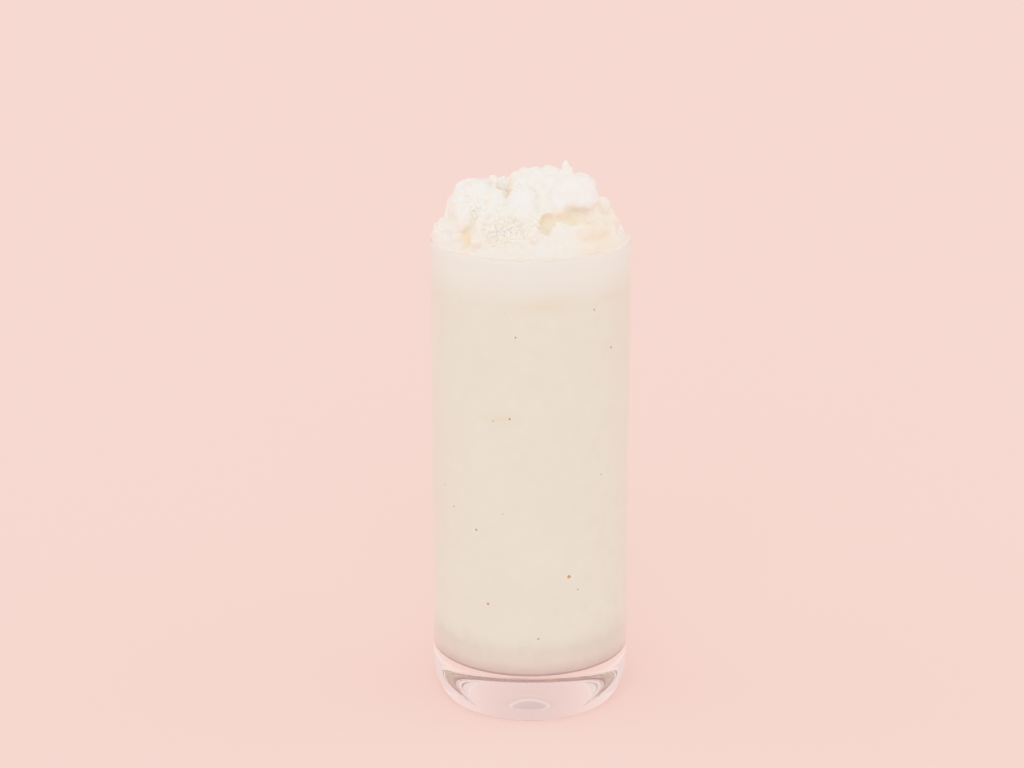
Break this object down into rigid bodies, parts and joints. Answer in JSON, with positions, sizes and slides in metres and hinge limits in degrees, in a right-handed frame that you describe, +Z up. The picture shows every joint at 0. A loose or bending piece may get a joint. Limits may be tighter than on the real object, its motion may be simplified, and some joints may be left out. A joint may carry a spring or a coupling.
{
  "type": "lychee smoothie in a tumbler",
  "caption": "Pale blended lychee smoothie filling a straight clear tumbler with a thick base, heaped with craggy icy slush above the rim.",
  "frame": {"origin": "centre of the tumbler's base, on the surface it stands on", "axes": "+Z up along the tumbler's axis; -Y is the side that faces the viewer, +X to the viewer's right"},
  "size_m": [0.065, 0.065, 0.1811],
  "materials": {
    "glass": "clear, polished",
    "smoothie": "pale cream drink, softly translucent",
    "slush": "wet icy slush, near white, softly translucent"
  },
  "bodies": {
    "root": {"glass": "glass", "smoothie": "smoothie", "slush_crown": "slush"}
  },
  "joints": []
}
